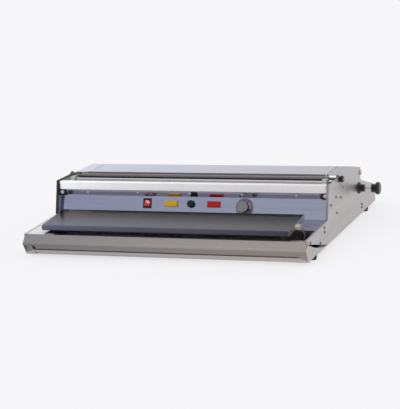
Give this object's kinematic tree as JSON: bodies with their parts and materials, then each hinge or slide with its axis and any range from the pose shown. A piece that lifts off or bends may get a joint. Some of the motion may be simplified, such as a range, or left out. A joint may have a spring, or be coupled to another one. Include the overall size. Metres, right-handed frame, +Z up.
{
  "type": "cling film wrapping machine",
  "caption": "Low stainless table machine with a sloping hot plate, raked control panel, hot-wire bar, film rollers and a hinged film bay for sealing trays in stretch film",
  "frame": {"origin": "on the floor under the middle of the footprint, in the plane of the feet", "axes": "+X to the machine's right end, +Y from the operator's side to the rear, +Z up"},
  "size_m": [0.658, 0.571, 0.1303],
  "materials": {
    "stainless": "brushed stainless sheet",
    "lid_sheet": "brushed stainless sheet with blue protective film",
    "black_block": "fine moulded texture",
    "zinc_steel": "dull plated strip",
    "bright_steel": "bright plated",
    "white_sleeve": "smooth non-stick sleeve",
    "bar_aluminium": "mill finish",
    "coated_cloth": "woven glass cloth with non-stick coating",
    "red_gloss": "moulded",
    "lead_sleeving": "smooth silicone",
    "silicone": "smooth silicone",
    "ceramic": "unglazed",
    "grey_nylon": "turned nylon",
    "yellow_lens": "clear tinted lens",
    "red_lens": "clear tinted lens",
    "thermostat_case": "moulded case",
    "rubber": "moulded rubber"
  },
  "bodies": {
    "machine": {"side_plate_left": "stainless", "side_plate_right": "stainless", "front_rail": "stainless", "base_pan": "stainless", "rear_rail": "stainless", "control_panel": "stainless", "tray_wall": "stainless", "plate_bracket_left": "stainless", "plate_bracket_right": "stainless", "lid_rest_left": "stainless", "lid_rest_right": "stainless", "electrics_cover": "stainless", "cutter_block_left": "black_block", "cutter_block_right": "black_block", "rocker_housing": "black_block", "fuse_holder": "black_block", "spindle_nut": "black_block", "cable_gland": "black_block", "spindle_bush_left": "black_block", "spindle_bush_right": "black_block", "roller_holder_left": "zinc_steel", "roller_holder_right": "zinc_steel", "lid_pin_left": "bright_steel", "lid_pin_right": "bright_steel", "side_screws_left": "bright_steel", "side_screws_right": "bright_steel", "visor_screws": "bright_steel", "cutter_block_screws": "bright_steel", "spindle_shaft_left": "bright_steel", "thermostat_bezel": "bright_steel", "cutter_sleeve": "white_sleeve", "cutter_bar": "bar_aluminium", "hot_plate": "bar_aluminium", "hot_plate_cloth": "coated_cloth", "heater_mat": "silicone", "heater_leads": "lead_sleeving", "heater_terminal": "ceramic", "nip_bearing_left": "grey_nylon", "nip_bearing_right": "grey_nylon", "yellow_lamp": "yellow_lens", "red_lamp": "red_lens", "thermostat": "thermostat_case", "rubber_feet": "rubber", "edge_trim_left": "rubber"},
    "feed_roller": {"feed_roller": "bright_steel", "feed_roller_shaft": "bright_steel", "feed_knob_left": "black_block", "feed_knob_right": "black_block"},
    "nip_roller": {"nip_roller": "bright_steel"},
    "lid": {"film_lid": "lid_sheet", "lid_strip": "rubber"},
    "right_spindle": {"spindle_shaft_right": "bright_steel", "spindle_knob": "black_block"},
    "right_cone": {"core_cone_right": "grey_nylon"},
    "left_cone": {"core_cone_left": "grey_nylon"},
    "rocker": {"rocker": "red_gloss"},
    "fuse_cap": {"fuse_cap": "black_block"},
    "thermostat_knob": {"thermostat_knob": "bright_steel"}
  },
  "joints": [
    {"name": "feed_roller_spin", "type": "hinge", "parent": "machine", "child": "feed_roller", "pos_m": [0, -0.0205, 0.118], "axis": [1, 0, 0], "continuous": true},
    {"name": "nip_roller_spin", "type": "hinge", "parent": "machine", "child": "nip_roller", "pos_m": [0, -0.0615, 0.1165], "axis": [1, 0, 0], "continuous": true},
    {"name": "lid_hinge", "type": "hinge", "parent": "machine", "child": "lid", "pos_m": [0, 0.1475, 0.098], "axis": [-1, 0, 0], "range_deg": [0, 100]},
    {"name": "spindle_pull", "type": "slide", "parent": "machine", "child": "right_spindle", "axis": [1, 0, 0], "range_m": [-0.014, 0.015]},
    {"name": "right_cone_spin", "type": "hinge", "parent": "right_spindle", "child": "right_cone", "pos_m": [0.247, 0.1355, 0.066], "axis": [1, 0, 0], "continuous": true},
    {"name": "left_cone_spin", "type": "hinge", "parent": "machine", "child": "left_cone", "pos_m": [-0.247, 0.1355, 0.066], "axis": [1, 0, 0], "continuous": true},
    {"name": "rocker_tilt", "type": "hinge", "parent": "machine", "child": "rocker", "pos_m": [-0.095, -0.10558, 0.07848], "axis": [1, 0, 0], "range_deg": [0, 20]},
    {"name": "fuse_cap_turn", "type": "hinge", "parent": "machine", "child": "fuse_cap", "pos_m": [0.003, -0.10558, 0.07848], "axis": [0, -0.9439, 0.3304], "range_deg": [0, 90]},
    {"name": "thermostat_turn", "type": "hinge", "parent": "machine", "child": "thermostat_knob", "pos_m": [0.12, -0.10723, 0.07376], "axis": [0, -0.9439, 0.3304], "range_deg": [-270, 0]}
  ]
}
